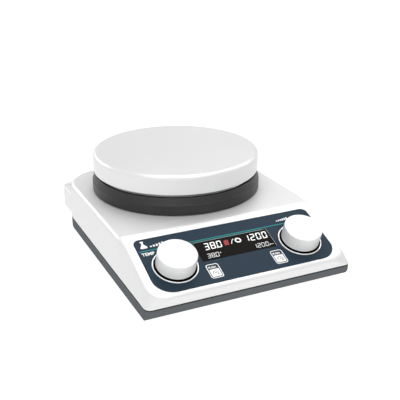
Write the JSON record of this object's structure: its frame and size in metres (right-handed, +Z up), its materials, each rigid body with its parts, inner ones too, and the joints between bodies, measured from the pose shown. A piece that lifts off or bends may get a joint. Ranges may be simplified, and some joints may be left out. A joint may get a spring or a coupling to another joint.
{
  "type": "hotplate magnetic stirrer",
  "caption": "Low wedge-fronted housing on a tray, with a round heated plate over a spinning magnet carrier and a sloped panel with a display between push-and-turn knobs.",
  "frame": {"origin": "middle of the footprint on the floor, under the feet", "axes": "+Z up, +X to the right seen from the front, the panel faces -Y; the plate's axis is at y = 0.03315"},
  "size_m": [0.162, 0.2104, 0.0728],
  "materials": {
    "white_shell": "smooth satin white",
    "slate_tray": "fine texture, slate grey",
    "overlay_print": "printed film, dark slate blue",
    "display_glass": "smoked window",
    "black_plastic": "moulded",
    "circuit_board": "solder mask",
    "ceramic_coat": "white ceramic coat on aluminium",
    "steel": "plain",
    "insulation": "pressed mineral board",
    "aluminium": "spun",
    "charcoal_ring": "satin charcoal",
    "magnet": "nickel plated",
    "winding": "varnished winding",
    "relay_case": "moulded",
    "ribbon": "grey ribbon",
    "brass": "plain",
    "fuse_tube": "glass tube with caps",
    "white_knob": "satin white",
    "silver_trim": "bright ring, black seat",
    "rubber_foot": "matte"
  },
  "bodies": {
    "base": {"upper_housing": "white_shell", "base_tray": "slate_tray", "panel_overlay": "overlay_print", "display_window": "display_glass", "lcd_module": "black_plastic", "control_board": "circuit_board", "hotplate": "ceramic_coat", "heating_element": "steel", "insulation_disc": "insulation", "heat_shield": "aluminium", "plate_sensor": "steel", "skirt_ring": "charcoal_ring", "plate_post_1": "steel", "plate_post_2": "steel", "plate_post_3": "steel", "motor_base": "steel", "motor_can": "aluminium", "motor_screw_1": "steel", "motor_screw_2": "steel", "power_board": "circuit_board", "transformer": "winding", "heat_sink": "aluminium", "capacitor": "black_plastic", "relay": "relay_case", "panel_ribbon": "ribbon", "mains_inlet": "black_plastic", "inlet_pin_earth": "brass", "inlet_pin_line": "brass", "inlet_pin_neutral": "brass", "power_switch_body": "black_plastic", "fuse_holder": "black_plastic", "probe_socket": "steel", "rod_insert": "steel", "temp_knob_ring": "silver_trim", "temp_encoder_body": "black_plastic", "speed_knob_ring": "silver_trim", "speed_encoder_body": "black_plastic", "foot_1": "rubber_foot", "housing_screw_1": "steel", "foot_2": "rubber_foot", "housing_screw_2": "steel", "foot_3": "rubber_foot", "housing_screw_3": "steel", "foot_4": "rubber_foot", "housing_screw_4": "steel"},
    "rotor": {"motor_shaft": "steel", "magnet_carrier": "black_plastic", "magnet_left": "magnet", "magnet_right": "magnet"},
    "temp_turn": {"temp_encoder_collar": "brass"},
    "temp_push": {"temp_knob": "white_knob", "temp_encoder_shaft": "steel"},
    "speed_turn": {"speed_encoder_collar": "brass"},
    "speed_push": {"speed_knob": "white_knob", "speed_encoder_shaft": "steel"},
    "rocker": {"power_rocker": "black_plastic"},
    "fuse_slide": {"fuse": "fuse_tube"},
    "fuse_turn": {"fuse_cap": "black_plastic"}
  },
  "joints": [
    {"name": "rotor_spin", "type": "hinge", "parent": "base", "child": "rotor", "pos_m": [0, 0.03315, 0.03], "axis": [0, 0, 1], "continuous": true},
    {"name": "temp_knob_turn", "type": "hinge", "parent": "base", "child": "temp_turn", "pos_m": [-0.05, -0.08083, 0.02909], "axis": [0, -0.343, 0.9393], "continuous": true},
    {"name": "temp_knob_push", "type": "slide", "parent": "temp_turn", "child": "temp_push", "axis": [0, 0.343, -0.9393], "range_m": [0, 0.0008], "stiffness_N_per_m": 2500, "springref_m": -0.0006},
    {"name": "speed_knob_turn", "type": "hinge", "parent": "base", "child": "speed_turn", "pos_m": [0.05, -0.08083, 0.02909], "axis": [0, -0.343, 0.9393], "continuous": true},
    {"name": "speed_knob_push", "type": "slide", "parent": "speed_turn", "child": "speed_push", "axis": [0, 0.343, -0.9393], "range_m": [0, 0.0008], "stiffness_N_per_m": 2500, "springref_m": -0.0006},
    {"name": "power_rocker_tilt", "type": "hinge", "parent": "base", "child": "rocker", "pos_m": [0.003, 0.09765, 0.0255], "axis": [0, 0, 1], "range_deg": [0, 10.5]},
    {"name": "fuse_pull", "type": "slide", "parent": "base", "child": "fuse_slide", "axis": [0, 1, 0], "range_m": [0, 0.026]},
    {"name": "fuse_cap_turn", "type": "hinge", "parent": "fuse_slide", "child": "fuse_turn", "pos_m": [0.024, 0.09915, 0.0255], "axis": [0, 1, 0], "range_deg": [-90, 0]}
  ]
}
